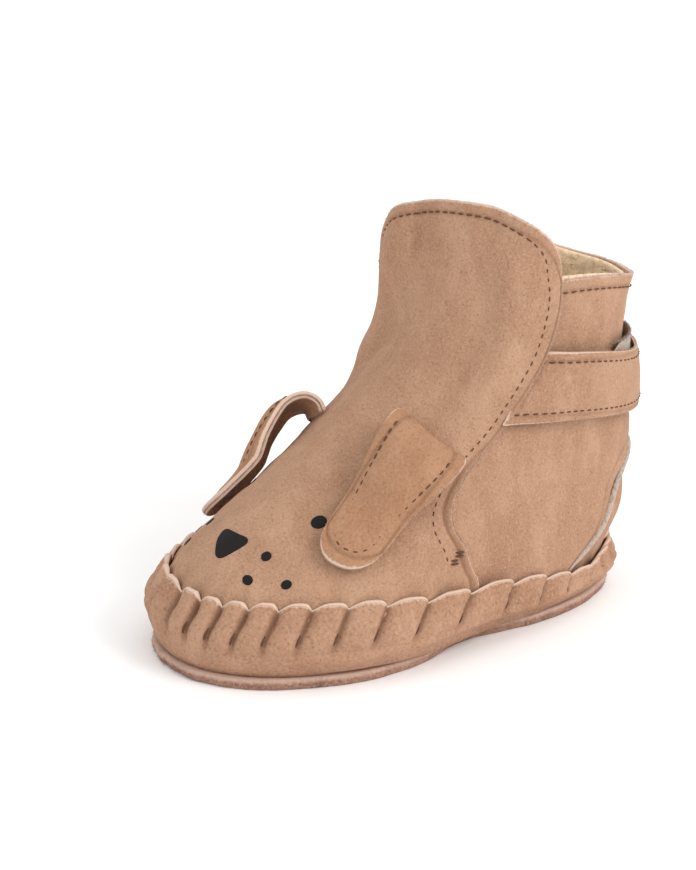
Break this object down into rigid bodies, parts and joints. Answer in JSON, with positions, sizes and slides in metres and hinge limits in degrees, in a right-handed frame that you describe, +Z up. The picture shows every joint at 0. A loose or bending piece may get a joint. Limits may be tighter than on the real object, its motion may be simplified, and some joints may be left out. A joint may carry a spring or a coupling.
{
  "type": "baby bootie",
  "caption": "Soft leather moccasin bootie with a gathered wrap, animal-face vamp, loose ears, forward-folding tongue, fleece lining and a heel strap that closes with hook and loop.",
  "frame": {"origin": "on the floor under the middle of the outsole", "axes": "+Z up, toe towards -Y, heel towards +Y, +X towards the outer side of the left foot"},
  "size_m": [0.0774, 0.1416, 0.1115],
  "materials": {
    "nubuck_tan": "soft brushed nubuck",
    "suede_tan": "napped suede",
    "strap_backing": "napped suede, pale back side",
    "fleece_cream": "fine wool pile",
    "foam_white": "closed cell foam, matte",
    "print_black": "satin pressed film",
    "hook_tape": "stiff hook tape",
    "loop_tape": "fuzzy loop tape"
  },
  "bodies": {
    "shoe": {"outsole": "suede_tan", "foam_midsole": "foam_white", "fleece_footbed": "fleece_cream", "moccasin_wrap": "suede_tan", "vamp": "nubuck_tan", "vamp_lining": "fleece_cream", "outer_quarter": "nubuck_tan", "inner_quarter": "nubuck_tan", "heel_patch": "nubuck_tan", "quarter_lining": "fleece_cream", "nose_print": "print_black", "outer_eye_print": "print_black", "outer_whisker_print_1": "print_black", "outer_whisker_print_2": "print_black", "outer_whisker_print_3": "print_black", "inner_eye_print": "print_black", "inner_whisker_print_1": "print_black", "inner_whisker_print_2": "print_black", "inner_whisker_print_3": "print_black"},
    "tongue": {"tongue_flap": "nubuck_tan", "tongue_lining": "fleece_cream"},
    "outer_strap": {"outer_strap": "nubuck_tan", "outer_strap_lining": "strap_backing", "hook_tape": "hook_tape"},
    "inner_strap": {"inner_strap": "nubuck_tan"},
    "loop_tape": {"loop_tape": "loop_tape"},
    "outer_ear": {"outer_ear": "nubuck_tan", "outer_ear_lining": "nubuck_tan"},
    "inner_ear": {"inner_ear": "nubuck_tan", "inner_ear_lining": "nubuck_tan"}
  },
  "joints": [
    {"name": "tongue_fold", "type": "hinge", "parent": "shoe", "child": "tongue", "pos_m": [0, -0.0065, 0.061], "axis": [1, 0, 0], "range_deg": [0, 40]},
    {"name": "outer_strap_swing", "type": "hinge", "parent": "tongue", "child": "outer_strap", "pos_m": [0.034, 0.0265, 0.066], "axis": [0, 0, -1], "range_deg": [0, 95]},
    {"name": "inner_strap_swing", "type": "hinge", "parent": "tongue", "child": "inner_strap", "pos_m": [-0.029, 0.016, 0.066], "axis": [0, 0, 1], "range_deg": [0, 45]},
    {"name": "loop_tape_flex", "type": "hinge", "parent": "inner_strap", "child": "loop_tape", "pos_m": [-0.02, 0.07, 0.064], "axis": [0, 0, 1], "range_deg": [0, 45]},
    {"name": "outer_ear_lift", "type": "hinge", "parent": "shoe", "child": "outer_ear", "pos_m": [0.0212, -0.0019, 0.0553], "axis": [-0.7032, -0.5008, 0.5047], "range_deg": [0, 60]},
    {"name": "inner_ear_lift", "type": "hinge", "parent": "shoe", "child": "inner_ear", "pos_m": [-0.0212, -0.0019, 0.0553], "axis": [-0.7032, 0.5008, -0.5047], "range_deg": [0, 60]}
  ],
  "couplings": [
    {"joint": "outer_strap_swing", "follows": "tongue_fold", "ratio": 2.375},
    {"joint": "inner_strap_swing", "follows": "tongue_fold", "ratio": 1.125},
    {"joint": "loop_tape_flex", "follows": "tongue_fold", "ratio": 1.125}
  ]
}
